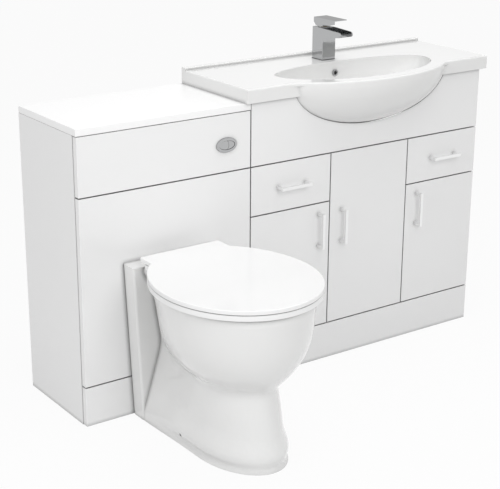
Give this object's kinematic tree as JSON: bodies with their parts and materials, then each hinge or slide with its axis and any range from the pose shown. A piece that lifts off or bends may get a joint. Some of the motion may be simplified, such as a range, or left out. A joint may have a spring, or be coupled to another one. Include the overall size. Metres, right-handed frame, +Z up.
{
  "type": "vanity unit with basin and back-to-wall toilet",
  "caption": "Fitted bathroom run: a ceramic basin on a cupboard and drawer vanity, beside a furniture unit with a hidden cistern and a back-to-wall toilet.",
  "frame": {"origin": "the middle of the run's footprint, on the floor", "axes": "+X to the right along the run, +Y to the wall, +Z up"},
  "size_m": [1.319, 0.819, 0.919],
  "materials": {
    "white_gloss": "white gloss lacquer on board",
    "white_top": "white satin top board",
    "white_board": "white faced chipboard",
    "nickel": "nickel plated steel",
    "satin_metal": "pale satin metal",
    "zinc_steel": "zinc plated steel",
    "ceramic": "white glazed ceramic",
    "chrome": "polished chrome",
    "brass": "turned brass",
    "white_plastic": "white moulded plastic",
    "seat_plastic": "white gloss thermoset",
    "cistern_plastic": "pale grey moulded plastic",
    "valve_plastic": "blue grey moulded plastic",
    "black_rubber": "black rubber",
    "white_rubber": "soft white rubber"
  },
  "bodies": {
    "cabinet": {"wc_sides": "white_gloss", "wc_top_panel": "white_top", "wc_upper_fascia": "white_gloss", "wc_lower_panel": "white_gloss", "plinths": "white_gloss", "carcass_rails": "white_board", "vanity_sides": "white_gloss", "vanity_base_panel": "white_board", "vanity_dividers": "white_board", "drawer_shelves": "white_board", "vanity_apron": "white_gloss", "hinge_arms": "nickel", "cabinet_runners": "zinc_steel", "basin": "ceramic", "overflow_ring": "chrome", "waste_flange": "chrome", "waste_nut": "white_plastic", "bottle_trap": "white_plastic", "tap_gasket": "black_rubber", "tap_body": "chrome", "tap_nut": "brass", "tap_cartridge": "chrome", "toilet_pan": "ceramic", "seat_hinges": "satin_metal", "cistern_tank": "cistern_plastic", "cistern_lid": "cistern_plastic", "flush_valve": "valve_plastic", "fill_valve": "valve_plastic", "flush_pipe": "white_plastic", "flush_cone": "black_rubber", "soil_connector": "white_plastic", "flush_bezel": "chrome", "flush_button_nut": "white_plastic"},
    "toilet_seat": {"toilet_seat": "seat_plastic", "seat_buffers": "white_rubber"},
    "toilet_lid": {"toilet_lid": "seat_plastic"},
    "door_left": {"door_left": "white_gloss", "hinge_cups_left": "nickel", "handle_door_left": "satin_metal"},
    "door_centre": {"door_centre": "white_gloss", "hinge_cups_centre": "nickel", "handle_door_centre": "satin_metal"},
    "door_right": {"door_right": "white_gloss", "hinge_cups_right": "nickel", "handle_door_right": "satin_metal"},
    "drawer_left": {"drawer_front_left": "white_gloss", "drawer_box_left": "white_board", "drawer_floor_left": "white_board", "drawer_runners_left": "zinc_steel", "handle_drawer_left": "satin_metal"},
    "drawer_right": {"drawer_front_right": "white_gloss", "drawer_box_right": "white_board", "drawer_floor_right": "white_board", "drawer_runners_right": "zinc_steel", "handle_drawer_right": "satin_metal"},
    "flush_full": {"flush_button_full": "chrome"},
    "flush_half": {"flush_button_half": "chrome"},
    "tap_turn": {"tap_stem": "brass"},
    "tap_lever": {"tap_lever": "chrome"},
    "waste_plug": {"waste_plug": "chrome"}
  },
  "joints": [
    {"name": "seat_hinge", "type": "hinge", "parent": "cabinet", "child": "toilet_seat", "pos_m": [-0.4095, 0.0515, 0.42354], "axis": [1, 0, 0], "range_deg": [-94, 0]},
    {"name": "lid_hinge", "type": "hinge", "parent": "toilet_seat", "child": "toilet_lid", "pos_m": [-0.4095, 0.0515, 0.42354], "axis": [-1, 0, 0], "range_deg": [0, 94]},
    {"name": "door_left_hinge", "type": "hinge", "parent": "cabinet", "child": "door_left", "pos_m": [-0.155, 0.1125, 0.3], "axis": [0, 0, -1], "range_deg": [0, 90]},
    {"name": "door_centre_hinge", "type": "hinge", "parent": "cabinet", "child": "door_centre", "pos_m": [0.374, 0.1125, 0.3], "axis": [0, 0, 1], "range_deg": [0, 90]},
    {"name": "door_right_hinge", "type": "hinge", "parent": "cabinet", "child": "door_right", "pos_m": [0.638, 0.1125, 0.3], "axis": [0, 0, 1], "range_deg": [0, 105]},
    {"name": "drawer_left_slide", "type": "slide", "parent": "cabinet", "child": "drawer_left", "axis": [0, -1, 0], "range_m": [0, 0.22]},
    {"name": "drawer_right_slide", "type": "slide", "parent": "cabinet", "child": "drawer_right", "axis": [0, -1, 0], "range_m": [0, 0.22]},
    {"name": "flush_full_press", "type": "slide", "parent": "cabinet", "child": "flush_full", "axis": [0, 1, 0], "range_m": [0, 0.005], "stiffness_N_per_m": 400},
    {"name": "flush_half_press", "type": "slide", "parent": "cabinet", "child": "flush_half", "axis": [0, 1, 0], "range_m": [0, 0.005], "stiffness_N_per_m": 400},
    {"name": "tap_turn_joint", "type": "hinge", "parent": "cabinet", "child": "tap_turn", "pos_m": [0.2415, 0.3255, 0.9042], "axis": [0, 0, 1], "range_deg": [-45, 45]},
    {"name": "tap_lift_joint", "type": "hinge", "parent": "tap_turn", "child": "tap_lever", "pos_m": [0.2415, 0.3255, 0.9042], "axis": [-1, 0, 0], "range_deg": [0, 18]},
    {"name": "plug_lift", "type": "slide", "parent": "cabinet", "child": "waste_plug", "axis": [0, 0, 1], "range_m": [0, 0.006]}
  ]
}
